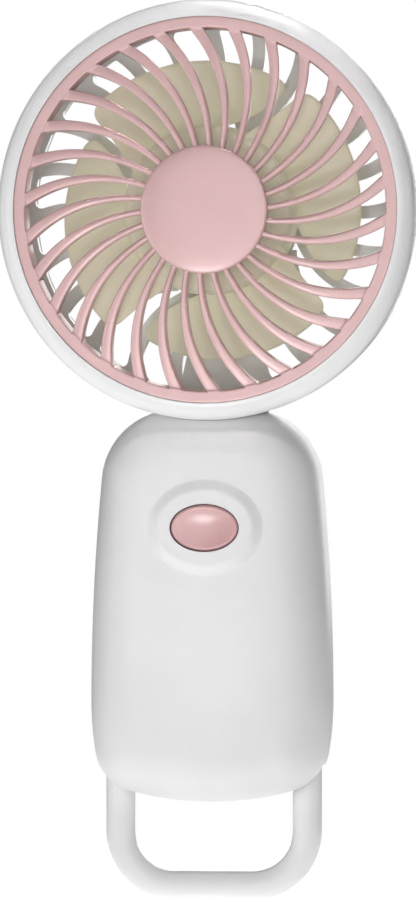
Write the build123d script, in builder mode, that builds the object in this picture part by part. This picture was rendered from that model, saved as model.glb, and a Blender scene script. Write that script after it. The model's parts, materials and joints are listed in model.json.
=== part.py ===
"""Handheld electric fan, in millimetres.

+Z is up along the handle, the fan blows towards -Y and +X is to the right as seen from the front.
The origin is in the middle of the handle, where a hand holds it.
"""

from build123d import *
import os
from math import atan2, cos, degrees, radians, sin, sqrt

# Handle: a rounded slab, its outline a chain of tangent arcs
BODY_HALF_H = 42.0  # half of the handle's height
BODY_HALF_W = 25.74  # half of the greatest width
WIDEST_Z = -20.3  # height of the widest place
BODY_D = 25.0  # depth, front to back
EDGE_R = 9.5  # rounding of the front and back edges
TOP_CORNER_X, TOP_CORNER_R = 7.5, 16.0
LOW_CORNER_X, LOW_CORNER_R = 14.9, 10.0
CROWN_R = 67.0  # gentle curve of the underside
WALL = 1.8
SEAM_Y = 2.5  # the two shells meet on this plane
GROOVE = 0.25  # width and depth of the groove along the seam
CAVITY_TOP = 37.6  # the wall is thicker above this, under the head
FRONT_Y, BACK_Y = -BODY_D / 2, BODY_D / 2

# Button and its raised oval surround
BUTTON_Z = 16.8
BUTTON_X_R, BUTTON_Z_R = 7.2, 4.87
BUTTON_GAP = 0.28
BUTTON_FRONT = FRONT_Y - 1.1
BOSS_TOP = (10.0, 7.85)  # half axes of the flat oval
BOSS_SPREAD = 2.7  # how far the foot reaches beyond it
BOSS_RISE = 1.3
BOSS_STEPS = 6

# Head
HEAD_Z = 84.75
HEAD_R = 45.0
RING_FRONT = -12.8
NOSE_R = 3.6  # rounding of the bezel
HEAD_SEAM = -5.0  # bezel and rear housing meet here
SEAM_R = 44.8
SPIGOT_R, SPIGOT_T, SPIGOT_END = 43.9, 1.0, -3.4
REAR_BEND = (43.0, 7.0)
REAR_Y = 12.0
SEAT_GAP = 0.08  # between the head and the saddle in the handle

# Front grille
GRILLE_R = 41.3
GRILLE_INNER_R = 38.9
GRILLE_FRONT, GRILLE_BACK = -12.5, -8.7
GRILLE_DRAFT = 0.45  # the ring's inside narrows by this towards its back
RIBS = 30
RIB_PHASE = 1.9  # angle of the first rib where it leaves the hub, in degrees
RIB_CURVE = ((12.6, -0.4, 1.2), (26.0, 7.4, 1.8), (40.0, 20.1, 3.0))  # radius, angle, width
DOME_HUB, DOME_RIM, DOME_T = -13.7, -12.2, 2.2
HUB_R = 13.7
CAP_FRONT, CAP_BACK = -14.9, -13.9
CAP_SPIGOT_R = 12.4

# Rear grille, a disc set into the rear housing from the front
PLATE_FRONT, PLATE_BACK = 8.0, 10.4
PLATE_R = 41.0
OPEN_R = 39.8
MOUNT_R = 18.2
REAR_RIBS = 24
REAR_RIB_W = 2.7
REAR_RIB_CURVE = ((40.6, 3.0), (27.0, 0.0), (18.0, 17.0))
BLOCK_MIDDLE, BLOCK_HALF = 273.0, 15.0  # solid sector at the bottom, in degrees
CORNER_R = 1.3

# Neck between the rear housing and the handle
NECK_HALF_W, NECK_FRONT, NECK_BACK, NECK_R = 12.4, -5.0, 8.0, 3.5
NECK_FOOT = 36.5
WIRE_WAY, WIRE_DEPTH, WIRE_LOW = (-2.2, 2.2), 9.75, 42.6
TONGUE_HALF_W, TONGUE_FRONT, TONGUE_BACK, TONGUE_FOOT = 10.0, 4.8, 7.4, 25.5

# Impeller
BLADES = 4
BLADE_ROOT_R, BLADE_TIP_R = 17.2, 32.3
BLADE_REAR_EDGE = ((BLADE_ROOT_R, -9), (21.1, -28.5), (25.5, -36), (31.4, -39.5))  # radius, angle
BLADE_FRONT_EDGE = ((33.2, 43), (28.7, 44.5), (24.5, 47), (BLADE_ROOT_R, 57))
BLADE_MID = 98.0
BLADE_T = 1.3
BLADE_FRONT, BLADE_REAR = -6.0, 5.0  # depth of the blade's middle half a span to either side
BLADE_SPAN = 86.0
HUB_OUT_R, HUB_WALL = 18.2, 1.5
HUB_FRONT, HUB_BACK = -8.3, 4.6

# Motor
YOKE_R, YOKE_T = 16.65, 1.1
MAGNET_T = 1.8
STATOR_R = 13.2
SLOTS = 6
SHAFT_R = 1.0
TUBE_R, TUBE_BORE = 4.0, 3.0

# Stand loop
LOOP_BAR = 6.2
LOOP_HALF_W = 20.2  # to the middle of a leg
LOOP_FOOT = -60.2  # middle of the bottom bar
LOOP_CORNER = 11.75
PIVOT_Z = -29.0
EYE_R = 3.3
PIN_R = 1.0
RUN_GAP = 0.05
SLOT_IN, SLOT_OUT = 16.5, 23.75
SLOT_FRONT, SLOT_TOP = -1.0, -25.3
EAR_END = -34.1  # the slots have no outer wall below this
CHEEK = 1.3

# Circuit board, switch and battery
BOARD_FRONT, BOARD_BACK = -6.0, -4.8
BOARD_HALF_W, BOARD_LOW, BOARD_HIGH = 13.0, -36.5, 23.5
USB_W, USB_H, USB_L = 8.94, 3.2, 7.3
USB_LOW = -41.3
CELL = (30.0, 9.8, 46.0)
CELL_Y, CELL_Z = 5.2, -1.0
SCREW_R, SCREW_HEAD_R = 1.0, 1.9
SCREW_SEAT, SCREW_TIP = 9.0, -3.0
POST_R = 2.5
BODY_SCREWS = ((-6.5, 30.0), (6.5, 30.0), (-18.7, -13.0), (18.7, -13.0))
BOARD_SCREWS = ((-10.6, 21.2), (9.8, -27.0))

HEAD_PROFILE = Plane.XY.offset(HEAD_Z)
HEAD_AXIS = Axis((0, 0, HEAD_Z), (0, 1, 0))


# ---------------------------------------------------------------- helpers
def facing_front(y, z=0):
    """A plane at depth y that faces forward, with its own x along +X and y along +Z."""
    return Plane(origin=(0, y, z), x_dir=(1, 0, 0), z_dir=(0, -1, 0))


def polar(radius, angle):
    """A point at an angle in degrees, anticlockwise from +X as seen from the front."""
    return radius * cos(radians(angle)), radius * sin(radians(angle))


def ring(outer, inner, front, back, mode=Mode.ADD):
    """A plain ring or disc about the fan's axis."""
    with BuildSketch(facing_front(back, HEAD_Z)) as section:
        Circle(outer)
        if inner:
            Circle(inner, mode=Mode.SUBTRACT)
    extrude(section.sketch, amount=back - front, mode=mode)


def bars(places, radius, front, back, mode=Mode.ADD):
    """Round bars or holes along Y at places given as x and z."""
    with BuildSketch(facing_front(back)) as section:
        with Locations(*places):
            Circle(radius)
    extrude(section.sketch, amount=back - front, mode=mode)


def block(x, y, z, mode=Mode.ADD):
    """A box given by its lowest and highest x, y and z."""
    with Locations(((x[0] + x[1]) / 2, (y[0] + y[1]) / 2, (z[0] + z[1]) / 2)):
        Box(x[1] - x[0], y[1] - y[0], z[1] - z[0], mode=mode)


def both_sides(low, high):
    """The same span of x on the right and on the left."""
    return (low, high), (-high, -low)


# ---------------------------------------------------------------- handle outline
def side_radius(corner_x, corner_z, corner_r):
    """Radius of the side arc that is upright at the widest place and touches a corner arc."""
    inward, rise = corner_x - BODY_HALF_W, corner_z - WIDEST_Z
    return (corner_r**2 - inward**2 - rise**2) / (2 * (inward + corner_r))


TOP_CORNER_Z = BODY_HALF_H - TOP_CORNER_R
LOW_CORNER_Z = CROWN_R - BODY_HALF_H - sqrt((CROWN_R - LOW_CORNER_R) ** 2 - LOW_CORNER_X**2)
HIGH_SIDE_R = side_radius(TOP_CORNER_X, TOP_CORNER_Z, TOP_CORNER_R)
LOW_SIDE_R = side_radius(LOW_CORNER_X, LOW_CORNER_Z, LOW_CORNER_R)


def touch_angle(corner_x, corner_z, side_r):
    """Direction, from +X, in which the side arc meets the corner arc."""
    return degrees(atan2(corner_z - WIDEST_Z, corner_x - BODY_HALF_W + side_r))


def handle_outline(inset):
    """Outline of the handle from the front, moved in by the inset all round."""
    high = touch_angle(TOP_CORNER_X, TOP_CORNER_Z, HIGH_SIDE_R)
    low = touch_angle(LOW_CORNER_X, LOW_CORNER_Z, LOW_SIDE_R)
    crown = -degrees(atan2(CROWN_R - BODY_HALF_H - LOW_CORNER_Z, LOW_CORNER_X))
    arcs = (
        (TOP_CORNER_R, 90 - high),
        (HIGH_SIDE_R, high),
        (LOW_SIDE_R, -low),
        (LOW_CORNER_R, low - crown),
        (CROWN_R, crown + 90),
    )
    with BuildSketch() as outline:
        with BuildLine():
            top = BODY_HALF_H - inset
            edge = Line((0, top), (TOP_CORNER_X, top))
            for radius, turn in arcs:
                edge = JernArc(edge @ 1, edge % 1, radius - inset, -turn)
            mirror(about=Plane.YZ)
        make_face()
    return outline.sketch


def handle_form(inset):
    """The handle's rounded slab, smaller by the inset on every side."""
    with BuildPart() as form:
        with BuildSketch(Plane.XZ):
            add(handle_outline(inset))
        extrude(amount=BODY_D / 2 - inset, both=True)
        ends = form.edges().group_by(Axis.Y)
        fillet(ends[0] + ends[-1], radius=EDGE_R - inset)
    return form.part


def neck_block(gap, low, high, mode=Mode.ADD):
    """The neck's rounded block, larger by the gap all round."""
    width = 2 * (NECK_HALF_W + gap)
    depth = NECK_BACK - NECK_FRONT + 2 * gap
    with BuildSketch(Plane.XY.offset(low)) as section:
        with Locations((0, (NECK_FRONT + NECK_BACK) / 2)):
            RectangleRounded(width, depth, NECK_R + gap)
    extrude(section.sketch, amount=high - low, mode=mode)


def head_envelope(gap):
    """A solid as large as the outside of the head, grown by the gap."""
    with BuildPart() as envelope:
        with BuildSketch(HEAD_PROFILE):
            with BuildLine():
                lip = HEAD_R - NOSE_R
                middle = RING_FRONT + NOSE_R
                grown = NOSE_R + gap
                front = Line((0, RING_FRONT - gap), (lip, RING_FRONT - gap))
                bend = (lip + grown * sin(radians(45)), middle - grown * cos(radians(45)))
                nose = ThreePointArc(front @ 1, bend, (HEAD_R + gap, middle))
                back = REAR_Y + gap
                Polyline(
                    nose @ 1,
                    (HEAD_R + gap, HEAD_SEAM),
                    (SEAM_R + gap, 1.5),
                    (REAR_BEND[0] + gap, REAR_BEND[1] + 1),
                    (REAR_BEND[0] + gap, back),
                    (0, back),
                    front @ 0,
                )
            make_face()
        revolve(axis=HEAD_AXIS)
    return envelope.part


OUTER_FORM = handle_form(0)
CAVITY_FORM = handle_form(WALL)
SADDLE_FORM = head_envelope(SEAT_GAP)


# ---------------------------------------------------------------- head: bezel, grille and cap
with BuildPart() as front_ring:
    lip_r = HEAD_R - NOSE_R
    with BuildSketch(HEAD_PROFILE):
        with BuildLine():
            nose_middle = RING_FRONT + NOSE_R
            bend_point = (lip_r + NOSE_R * sin(radians(45)), nose_middle - NOSE_R * cos(radians(45)))
            nose_arc = ThreePointArc((lip_r, RING_FRONT), bend_point, (HEAD_R, nose_middle))
            Polyline(
                nose_arc @ 1,
                (HEAD_R, -7.2),
                (SEAM_R, HEAD_SEAM),
                (SPIGOT_R, HEAD_SEAM),
                (SPIGOT_R, SPIGOT_END),
                (SPIGOT_R - SPIGOT_T, SPIGOT_END),
                (SPIGOT_R - SPIGOT_T, GRILLE_BACK + 1.6),
                (GRILLE_INNER_R + 1.0, GRILLE_BACK + 1.6),
                (GRILLE_INNER_R + 1.0, GRILLE_BACK + 0.05),
                (lip_r, GRILLE_BACK + 0.05),
                nose_arc @ 0,
            )
        make_face()
    revolve(axis=HEAD_AXIS)
    front_ring.part.label = "front_ring"


def rib_outline(curve):
    """One rib as a curved tapering strip, from its radius, angle and width at three places."""
    left = [polar(r, a + degrees(w / 2 / r)) for r, a, w in curve]
    right = [polar(r, a - degrees(w / 2 / r)) for r, a, w in curve]
    with BuildSketch() as strip:
        with BuildLine():
            one = ThreePointArc(*left)
            other = ThreePointArc(*right)
            Line(one @ 0, other @ 0)
            Line(one @ 1, other @ 1)
        make_face()
    return strip.sketch


RIB = rib_outline(RIB_CURVE)

with BuildPart() as dome:
    half_way = ((HUB_R + GRILLE_R) / 2, (DOME_HUB + DOME_RIM) / 2 - 0.35)
    with BuildSketch(HEAD_PROFILE):
        with BuildLine():
            face = ThreePointArc((HUB_R - 1.5, DOME_HUB), half_way, (GRILLE_R - 1, DOME_RIM))
            under = ThreePointArc(
                (HUB_R - 1.5, DOME_HUB + DOME_T),
                (half_way[0], half_way[1] + DOME_T),
                (GRILLE_R - 1, DOME_RIM + DOME_T),
            )
            Line(face @ 0, under @ 0)
            Line(face @ 1, under @ 1)
        make_face()
    revolve(axis=HEAD_AXIS)

with BuildPart() as front_grille:
    with BuildSketch(facing_front(GRILLE_BACK, HEAD_Z)):
        with PolarLocations(0, RIBS, start_angle=RIB_PHASE):
            add(RIB)
    extrude(amount=6)
    add(dome.part, mode=Mode.INTERSECT)
    with BuildSketch(HEAD_PROFILE):
        Polygon(
            (GRILLE_R, GRILLE_FRONT),
            (GRILLE_R, GRILLE_BACK),
            (GRILLE_INNER_R - GRILLE_DRAFT, GRILLE_BACK),
            (GRILLE_INNER_R, GRILLE_FRONT),
            align=None,
        )
    revolve(axis=HEAD_AXIS)
    ring(HUB_R - 0.1, 0, CAP_BACK, DOME_HUB + DOME_T + 0.3)
    ring(CAP_SPIGOT_R + 0.05, 0, CAP_BACK, CAP_BACK + 1.05, mode=Mode.SUBTRACT)
    front_grille.part.label = "front_grille"

with BuildPart() as grille_cap:
    with BuildSketch(HEAD_PROFILE):
        with BuildLine():
            crown = ThreePointArc((0, CAP_FRONT), (HUB_R * 0.55, CAP_FRONT + 0.13), (HUB_R - 0.5, -14.45))
            rim = ThreePointArc(crown @ 1, (HUB_R - 0.13, -14.3), (HUB_R, CAP_BACK - 0.05))
            Polyline(
                rim @ 1,
                (HUB_R, CAP_BACK),
                (CAP_SPIGOT_R, CAP_BACK),
                (CAP_SPIGOT_R, CAP_BACK + 1),
                (0, CAP_BACK + 1),
                crown @ 0,
            )
        make_face()
    revolve(axis=HEAD_AXIS)
    grille_cap.part.label = "grille_cap"


MOTOR_SCREWS = [polar(12.4, angle) for angle in (90, 210, 330)]


# ---------------------------------------------------------------- head: rear housing with neck
def bowl_inside():
    """Inside of the rear housing, from its seam to the seat of the rear grille, as radius and depth."""
    return (42.9, SPIGOT_END + 0.1), (PLATE_R + 0.1, PLATE_FRONT - 0.4), (PLATE_R + 0.1, PLATE_BACK)


def seam_step():
    """The step that takes the bezel's spigot, as radius and depth."""
    outer = SPIGOT_R + 0.05
    return (outer, -20), (outer, SPIGOT_END + 0.1)


with BuildPart() as bowl_space:
    with BuildSketch(HEAD_PROFILE):
        with BuildLine():
            Polyline((0, -20), *seam_step(), *bowl_inside(), (0, PLATE_BACK), (0, -20))
        make_face()
    revolve(axis=HEAD_AXIS)

with BuildSketch() as rear_rib:
    with BuildLine():
        ThreePointArc(*[polar(r, a) for r, a in REAR_RIB_CURVE])
    trace(line_width=REAR_RIB_W)

with BuildSketch() as air_openings:
    Circle(OPEN_R - 0.2)
    Circle(MOUNT_R, mode=Mode.SUBTRACT)
    with PolarLocations(0, REAR_RIBS):
        add(rear_rib.sketch, mode=Mode.SUBTRACT)
    with BuildLine():
        Polyline(
            (0, 0),
            polar(60, BLOCK_MIDDLE - BLOCK_HALF),
            polar(60, BLOCK_MIDDLE + BLOCK_HALF),
            (0, 0),
        )
    make_face(mode=Mode.SUBTRACT)
    outer_corners = [v for v in air_openings.vertices() if Vector(v.X, v.Y).length > OPEN_R - 0.3]
    fillet(outer_corners, radius=CORNER_R)

with BuildPart() as rear_housing:
    neck_block(0, NECK_FOOT, HEAD_Z - 38)
    block((-TONGUE_HALF_W, TONGUE_HALF_W), (TONGUE_FRONT, TONGUE_BACK), (TONGUE_FOOT, NECK_FOOT + 1))
    add(bowl_space.part, mode=Mode.SUBTRACT)
    with BuildSketch(HEAD_PROFILE):
        with BuildLine():
            wall = ThreePointArc((SEAM_R, HEAD_SEAM), (44.4, 1.5), REAR_BEND)
            edge = ThreePointArc(wall @ 1, (42.1, 10.2), (39.6, REAR_Y))
            Polyline(
                edge @ 1,
                (OPEN_R + 0.1, REAR_Y - 0.4),
                (OPEN_R + 0.1, PLATE_BACK),
                *reversed(bowl_inside()),
                seam_step()[1],
                (SPIGOT_R + 0.05, HEAD_SEAM),
                wall @ 0,
            )
        make_face()
    revolve(axis=HEAD_AXIS)
    # hollow of the neck, and the way of the motor wires down into the handle
    block((-8, 8), (-2.6, 4.4), (NECK_FOOT - 1, 40.6), mode=Mode.SUBTRACT)
    block(WIRE_WAY, (1.8, 5.2), (40, 44), mode=Mode.SUBTRACT)
    block(WIRE_WAY, (5.0, PLATE_FRONT + 0.5), (WIRE_LOW, HEAD_Z - 30), mode=Mode.SUBTRACT)
    bars(BODY_SCREWS[:2], SCREW_R + 0.2, TONGUE_FRONT, TONGUE_BACK, mode=Mode.SUBTRACT)
    rear_housing.part.label = "rear_housing"

with BuildPart() as rear_grille:
    ring(PLATE_R, 0, PLATE_FRONT, PLATE_BACK - 0.05)
    with BuildSketch(facing_front(PLATE_BACK + 1, HEAD_Z)):
        add(air_openings.sketch)
    extrude(amount=PLATE_BACK - PLATE_FRONT + 2, mode=Mode.SUBTRACT)
    with BuildSketch(facing_front(PLATE_FRONT + 1.8, HEAD_Z)):
        with Locations(*MOTOR_SCREWS):
            Circle(0.72)
    extrude(amount=3, mode=Mode.SUBTRACT)
    # tunnel for the motor wires in the solid sector, with a mouth under the motor base and one at its foot
    block(WIRE_WAY, (PLATE_FRONT + 0.5, WIRE_DEPTH), (WIRE_LOW, HEAD_Z - 10.8), mode=Mode.SUBTRACT)
    for mouth in ((HEAD_Z - 14.6, HEAD_Z - 10.8), (WIRE_LOW, 45.9)):
        block(WIRE_WAY, (PLATE_FRONT - 1, WIRE_DEPTH), mouth, mode=Mode.SUBTRACT)
    rear_grille.part.label = "rear_grille"


# ---------------------------------------------------------------- impeller
def blade_outline():
    """A paddle seen from the front, for a blade whose middle points along +X."""
    with BuildSketch() as outline:
        with BuildLine():
            rear_edge = Spline(*[polar(r, a) for r, a in BLADE_REAR_EDGE])
            front_edge = Spline(*[polar(r, a) for r, a in BLADE_FRONT_EDGE])
            tip = ThreePointArc(rear_edge @ 1, polar(BLADE_TIP_R, 0), front_edge @ 0)
            ThreePointArc(front_edge @ 1, polar(BLADE_ROOT_R, 24), rear_edge @ 0)
        make_face()
        for end, radius in ((tip @ 0, 3.2), (tip @ 1, 3.0)):
            fillet(outline.vertices().sort_by_distance(end)[0], radius=radius)
    return outline.sketch


def twisted_sheet():
    """A thin screw-shaped sheet: rear at its clockwise edge, front at the other."""
    first, last, steps = -52.0, 76.0, 6
    depth_per_degree = (BLADE_FRONT - BLADE_REAR) / BLADE_SPAN
    with BuildPart() as sheet:
        for step in range(steps + 1):
            angle = first + (last - first) * step / steps
            depth = (BLADE_FRONT + BLADE_REAR) / 2 + depth_per_degree * angle
            out = (cos(radians(angle)), 0, sin(radians(angle)))
            along = (-sin(radians(angle)), 0, cos(radians(angle)))
            with BuildSketch(Plane(origin=(0, 0, 0), x_dir=out, z_dir=along)):
                with Locations((25, depth)):
                    Rectangle(20, BLADE_T)
        loft()
    return sheet.part


with BuildPart() as blade:
    with BuildSketch(facing_front(15)):
        add(blade_outline())
    extrude(amount=30)
    add(twisted_sheet(), mode=Mode.INTERSECT)

with BuildPart() as impeller:
    ring(HUB_OUT_R, 0, HUB_FRONT, HUB_BACK)
    fillet(impeller.edges().group_by(Axis.Y)[0], radius=1.6)
    ring(HUB_OUT_R - HUB_WALL, 0, HUB_FRONT + 1.6, HUB_BACK + 1, mode=Mode.SUBTRACT)
    ring(3.2, 0, HUB_FRONT + 1, -4.9)
    for number in range(BLADES):
        turn = BLADE_MID + number * 360 / BLADES
        with Locations(Location((0, 0, HEAD_Z), (0, -turn, 0))):
            add(blade.part)
    ring(HUB_OUT_R - HUB_WALL, 3.2, HUB_FRONT + 1.6, HUB_BACK + 3, mode=Mode.SUBTRACT)
    ring(SHAFT_R, 0, HUB_FRONT + 0.8, 0, mode=Mode.SUBTRACT)
    impeller.part.label = "impeller"


# ---------------------------------------------------------------- motor
with BuildPart() as rotor_yoke:
    ring(YOKE_R, YOKE_R - YOKE_T, HUB_FRONT + 1.7, 3.6)
    rotor_yoke.part.label = "rotor_yoke"

with BuildPart() as magnet_ring:
    ring(YOKE_R - YOKE_T - 0.02, YOKE_R - YOKE_T - MAGNET_T, -4.6, 3.2)
    magnet_ring.part.label = "magnet_ring"

with BuildPart() as rotor_shaft:
    ring(SHAFT_R, 0, HUB_FRONT + 0.8, 7.4)
    ring(SHAFT_R + 1, SHAFT_R - 0.25, 6.3, 6.7, mode=Mode.SUBTRACT)
    rotor_shaft.part.label = "rotor_shaft"

with BuildPart() as shaft_clip:
    ring(2.1, SHAFT_R - 0.24, 6.32, 6.68)
    shaft_clip.part.label = "shaft_clip"

with BuildPart() as motor_bearings:
    for front in (-4.4, 2.8):
        ring(TUBE_BORE, SHAFT_R + 0.03, front, front + 3)
    motor_bearings.part.label = "motor_bearings"

with BuildPart() as motor_base:
    ring(15.4, 0, 6.6, PLATE_FRONT)
    ring(TUBE_R, 0, -4.4, PLATE_FRONT)
    ring(TUBE_BORE, 0, -5, PLATE_FRONT - 0.4, mode=Mode.SUBTRACT)
    with BuildSketch(facing_front(PLATE_FRONT, HEAD_Z)):
        with Locations(*MOTOR_SCREWS):
            Circle(0.75)
    extrude(amount=3, mode=Mode.SUBTRACT)
    block((-2.2, 2.2), (6, 9), (HEAD_Z - 16, HEAD_Z - 10.8), mode=Mode.SUBTRACT)
    motor_base.part.label = "motor_base"

with BuildPart() as motor_screws:
    with BuildSketch(facing_front(6.6, HEAD_Z)):
        with Locations(*MOTOR_SCREWS):
            Circle(1.4)
    extrude(amount=0.9)
    with BuildSketch(facing_front(PLATE_FRONT + 1.6, HEAD_Z)):
        with Locations(*MOTOR_SCREWS):
            Circle(0.7)
    extrude(amount=3.1)
    with BuildSketch(facing_front(6.1, HEAD_Z)):
        with Locations(*MOTOR_SCREWS):
            Rectangle(1.6, 0.35)
            Rectangle(0.35, 1.6)
    extrude(amount=0.5, mode=Mode.SUBTRACT)
    motor_screws.part.label = "motor_screws"

TOOTH_ANGLES = [30 + number * 360 / SLOTS for number in range(SLOTS)]

with BuildPart() as stator_core:
    with BuildSketch(facing_front(2.2, HEAD_Z)) as lamination:
        Circle(6.2)
        for angle in TOOTH_ANGLES:
            with Locations(Location((*polar(8.4, angle), 0), (0, 0, angle))):
                Rectangle(8, 2.4)
        with BuildSketch(mode=Mode.PRIVATE) as shoes:
            Circle(STATOR_R)
            Circle(STATOR_R - 1.3, mode=Mode.SUBTRACT)
            for angle in TOOTH_ANGLES:
                with Locations(Location((*polar(12, angle + 180 / SLOTS), 0), (0, 0, angle + 180 / SLOTS))):
                    Rectangle(6, 1.8, mode=Mode.SUBTRACT)
        add(shoes.sketch)
        Circle(TUBE_R + 0.02, mode=Mode.SUBTRACT)
    extrude(amount=5)
    stator_core.part.label = "stator_core"

with BuildPart() as stator_coils:
    for angle in TOOTH_ANGLES:
        along = (cos(radians(angle)), 0, sin(radians(angle)))
        start = (7.0 * along[0], 0, HEAD_Z + 7.0 * along[2])
        with BuildSketch(Plane(origin=start, x_dir=(0, 1, 0), z_dir=along)):
            with Locations((-0.3, 0)):
                RectangleRounded(7.4, 4.6, 1.2)
                Rectangle(5.1, 2.5, mode=Mode.SUBTRACT)
        extrude(amount=4.4)
    stator_coils.part.label = "stator_coils"

with BuildPart() as motor_board:
    ring(13.0, TUBE_R + 0.05, 4.2, 5.2)
    motor_board.part.label = "motor_board"


# ---------------------------------------------------------------- handle shells
def loop_pockets(mode, grow, high, back, low=-60):
    """The two pockets that the loop's legs swing in; grow widens them inward and forward."""
    for side in both_sides(SLOT_IN - grow, SLOT_OUT + grow):
        block(side, (SLOT_FRONT - grow, back), (low, high + grow), mode=mode)


with BuildPart() as pocket_walls:
    loop_pockets(Mode.ADD, CHEEK, SLOT_TOP, BACK_Y)
    add(OUTER_FORM, mode=Mode.INTERSECT)

with BuildPart() as cavity:
    add(CAVITY_FORM)
    block((-30, 30), (-15, 15), (CAVITY_TOP, 45), mode=Mode.SUBTRACT)
    add(pocket_walls.part, mode=Mode.SUBTRACT)

with BuildPart() as handle_wall:
    add(OUTER_FORM)
    add(cavity.part, mode=Mode.SUBTRACT)
    add(SADDLE_FORM, mode=Mode.SUBTRACT)
    neck_block(0.1, CAVITY_TOP - 2, 46, mode=Mode.SUBTRACT)
    loop_pockets(Mode.SUBTRACT, 0, SLOT_TOP, BACK_Y + 5)
    for ear_side in both_sides(SLOT_IN, BODY_HALF_W + 2):
        block(ear_side, (SLOT_FRONT, BACK_Y + 5), (-60, EAR_END), mode=Mode.SUBTRACT)
    # holes for the loop's two pins, half in each shell
    for pin_side in both_sides(SLOT_IN - CHEEK - 0.1, SLOT_OUT + 0.8):
        with Locations(Location(((pin_side[0] + pin_side[1]) / 2, SEAM_Y, PIVOT_Z), (0, 90, 0))):
            Cylinder(PIN_R, pin_side[1] - pin_side[0], mode=Mode.SUBTRACT)


def boss_form():
    """The raised oval round the button, with an S-shaped side."""
    with BuildPart() as boss:
        for step in range(BOSS_STEPS + 1):
            share = step / BOSS_STEPS
            rise = BOSS_RISE * (1 - cos(radians(180 * share))) / 2
            spread = BOSS_SPREAD * (1 - share)
            depth = FRONT_Y + 0.02 - rise - 0.02 * share
            with BuildSketch(facing_front(depth, BUTTON_Z)):
                Ellipse(BOSS_TOP[0] + spread, BOSS_TOP[1] + spread)
        loft()
    return boss.part


def seam_groove():
    """A shallow groove round the handle where the shells meet."""
    with BuildPart() as groove:
        block((-30, 30), (SEAM_Y - GROOVE / 2, SEAM_Y + GROOVE / 2), (-45, 45))
        add(handle_form(GROOVE), mode=Mode.SUBTRACT)
    return groove.part


SEAM_GROOVE = seam_groove()

with BuildPart() as front_shell:
    add(handle_wall.part)
    bars(BODY_SCREWS[:2], POST_R, FRONT_Y + 1, TONGUE_FRONT)
    bars(BODY_SCREWS[2:], POST_R, FRONT_Y + 1, SEAM_Y)
    bars(BOARD_SCREWS, POST_R - 0.3, FRONT_Y + 1, BOARD_FRONT)
    add(OUTER_FORM, mode=Mode.INTERSECT)
    add(boss_form())
    with BuildSketch(facing_front(-8, BUTTON_Z)):
        Ellipse(BUTTON_X_R + BUTTON_GAP, BUTTON_Z_R + BUTTON_GAP)
    extrude(amount=10, mode=Mode.SUBTRACT)
    bars(BODY_SCREWS, SCREW_R - 0.02, SCREW_TIP - 0.5, SEAM_Y + 1, mode=Mode.SUBTRACT)
    bars(BOARD_SCREWS, 0.75, BOARD_FRONT - 3.6, BOARD_FRONT + 1, mode=Mode.SUBTRACT)
    # slot for the charging socket, in the underside
    usb_y = BOARD_BACK + USB_H / 2 + 0.05
    with BuildSketch(Plane.XY.offset(-43)):
        with Locations((0, usb_y)):
            SlotOverall(USB_W + 0.5, USB_H + 0.5)
    extrude(amount=5, mode=Mode.SUBTRACT)
    add(SEAM_GROOVE, mode=Mode.SUBTRACT)
    split(bisect_by=Plane.XZ.offset(-SEAM_Y), keep=Keep.TOP)
    front_shell.part.label = "front_shell"

with BuildPart() as rear_shell:
    add(handle_wall.part)
    bars(BODY_SCREWS[:2], POST_R, TONGUE_BACK, BACK_Y - 1)
    bars(BODY_SCREWS[2:], POST_R, SEAM_Y, BACK_Y - 1)
    add(OUTER_FORM, mode=Mode.INTERSECT)
    bars(BODY_SCREWS, SCREW_R + 0.2, SEAM_Y - 1, BACK_Y, mode=Mode.SUBTRACT)
    bars(BODY_SCREWS, SCREW_HEAD_R + 0.15, SCREW_SEAT, BACK_Y + 1, mode=Mode.SUBTRACT)
    add(SEAM_GROOVE, mode=Mode.SUBTRACT)
    split(bisect_by=Plane.XZ.offset(-SEAM_Y), keep=Keep.BOTTOM)
    rear_shell.part.label = "rear_shell"

with BuildPart() as body_screws:
    bars(BODY_SCREWS, SCREW_R - 0.02, SCREW_TIP, SCREW_SEAT)
    bars(BODY_SCREWS, SCREW_HEAD_R, SCREW_SEAT, SCREW_SEAT + 1.3)
    with BuildSketch(facing_front(SCREW_SEAT + 1.3)):
        with Locations(*BODY_SCREWS):
            Rectangle(2.4, 0.5)
            Rectangle(0.5, 2.4)
    extrude(amount=0.8, mode=Mode.SUBTRACT)
    body_screws.part.label = "body_screws"


# ---------------------------------------------------------------- button and switch
BUTTON_FLANGE = FRONT_Y + WALL + 0.1
PLUNGER_FRONT = -8.3
SWITCH_FRONT = -7.6
dish_r, dish_depth = 40.0, 0.5
dish = Pos(0, BUTTON_FRONT - dish_r + dish_depth, BUTTON_Z) * scale(Sphere(dish_r), by=(1, 1, 0.62))

with BuildPart() as button:
    with BuildSketch(facing_front(BUTTON_FLANGE + 0.5, BUTTON_Z)):
        Ellipse(BUTTON_X_R, BUTTON_Z_R)
    extrude(amount=BUTTON_FLANGE + 0.5 - BUTTON_FRONT)
    fillet(button.edges().group_by(Axis.Y)[0], radius=0.6)
    with BuildSketch(facing_front(BUTTON_FLANGE + 0.9, BUTTON_Z)):
        Ellipse(BUTTON_X_R + 1.2, BUTTON_Z_R + 1.2)
    extrude(amount=0.9)
    bars([(0, BUTTON_Z)], 1.6, PLUNGER_FRONT, BUTTON_FLANGE + 0.9)
    add(dish, mode=Mode.SUBTRACT)
    button.part.label = "button"

with BuildPart() as switch_plunger:
    bars([(0, BUTTON_Z)], 1.7, PLUNGER_FRONT, SWITCH_FRONT + 0.7)
    switch_plunger.part.label = "switch_plunger"

with BuildPart() as switch_body:
    block((-3, 3), (SWITCH_FRONT, BOARD_FRONT), (BUTTON_Z - 3, BUTTON_Z + 3))
    bars([(0, BUTTON_Z)], 1.76, SWITCH_FRONT - 1, SWITCH_FRONT + 1.3, mode=Mode.SUBTRACT)
    switch_body.part.label = "switch_body"


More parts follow.
